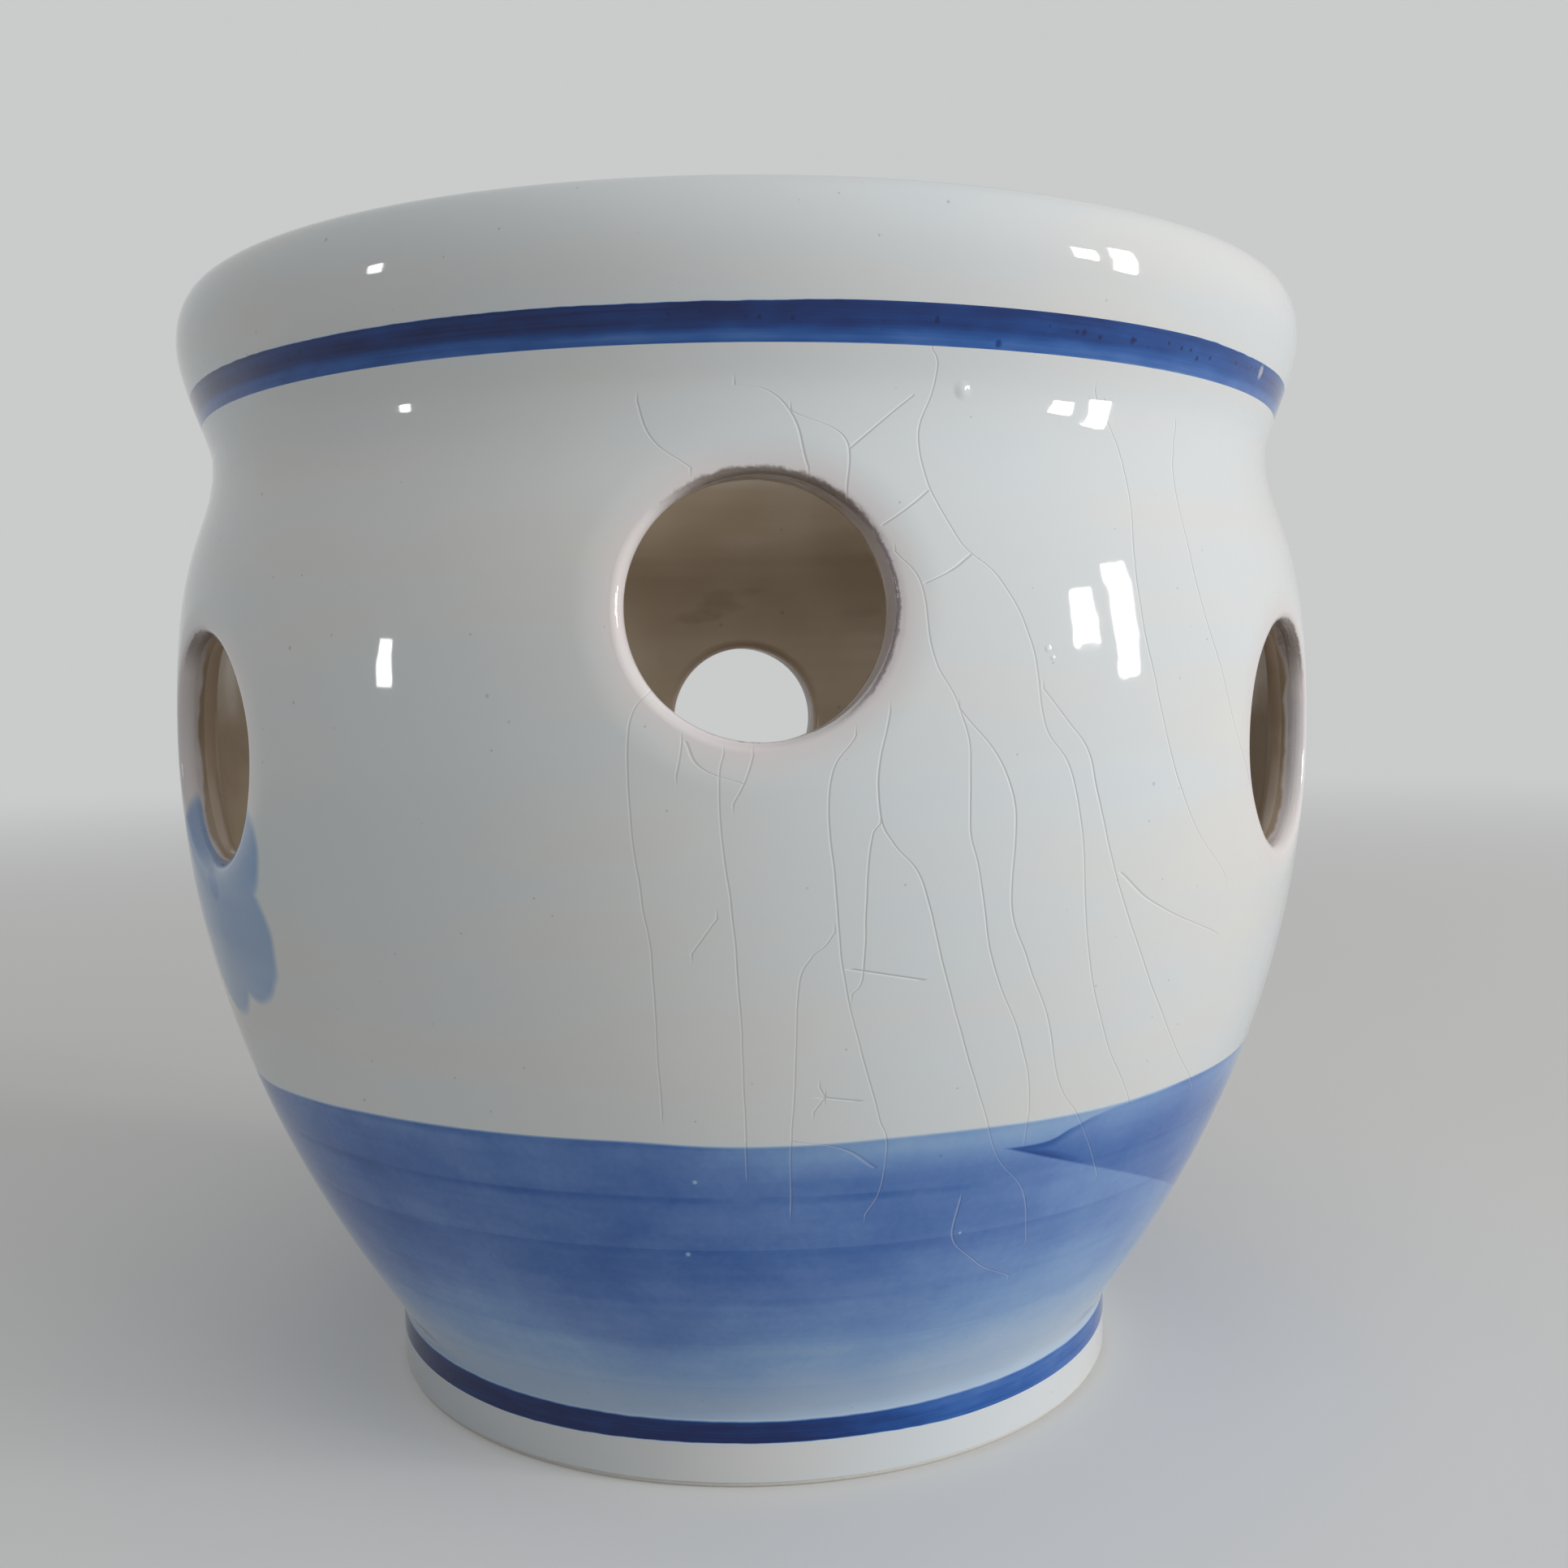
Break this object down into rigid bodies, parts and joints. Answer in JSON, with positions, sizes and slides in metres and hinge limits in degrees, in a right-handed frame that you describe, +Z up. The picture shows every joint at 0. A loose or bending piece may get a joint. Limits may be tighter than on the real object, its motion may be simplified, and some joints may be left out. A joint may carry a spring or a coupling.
{
  "type": "crocus pot",
  "caption": "Round-bellied glazed earthenware pot with staggered planting holes round its belly, a rolled rim, blue bands and a blue-washed lower body.",
  "frame": {"origin": "centre of the foot's resting face", "axes": "+Z up along the pot's axis; -Y through the upper hole that faces the front"},
  "size_m": [0.1356, 0.135, 0.1256],
  "materials": {
    "clay": "bare fired earthenware, fine and matt",
    "white_glaze": "glossy white tin glaze, lightly crazed",
    "inner_glaze": "thin warm white glaze, glossy",
    "cobalt": "brushed cobalt blue under a glossy glaze",
    "blue_wash": "pale streaky blue wash under a glossy glaze",
    "hole_glaze": "thin glaze over the cut edge, clay showing pink"
  },
  "bodies": {
    "root": {"clay_body": "clay", "foot_glaze": "white_glaze", "foot_band": "cobalt", "blue_wash": "blue_wash", "belly_glaze": "white_glaze", "rim_band": "cobalt", "rim_glaze": "white_glaze", "inner_glaze": "inner_glaze", "base_glaze": "white_glaze", "hole_glaze_1": "hole_glaze", "hole_glaze_2": "hole_glaze", "hole_glaze_3": "hole_glaze", "hole_glaze_4": "hole_glaze", "hole_glaze_5": "hole_glaze", "hole_glaze_6": "hole_glaze"}
  },
  "joints": []
}
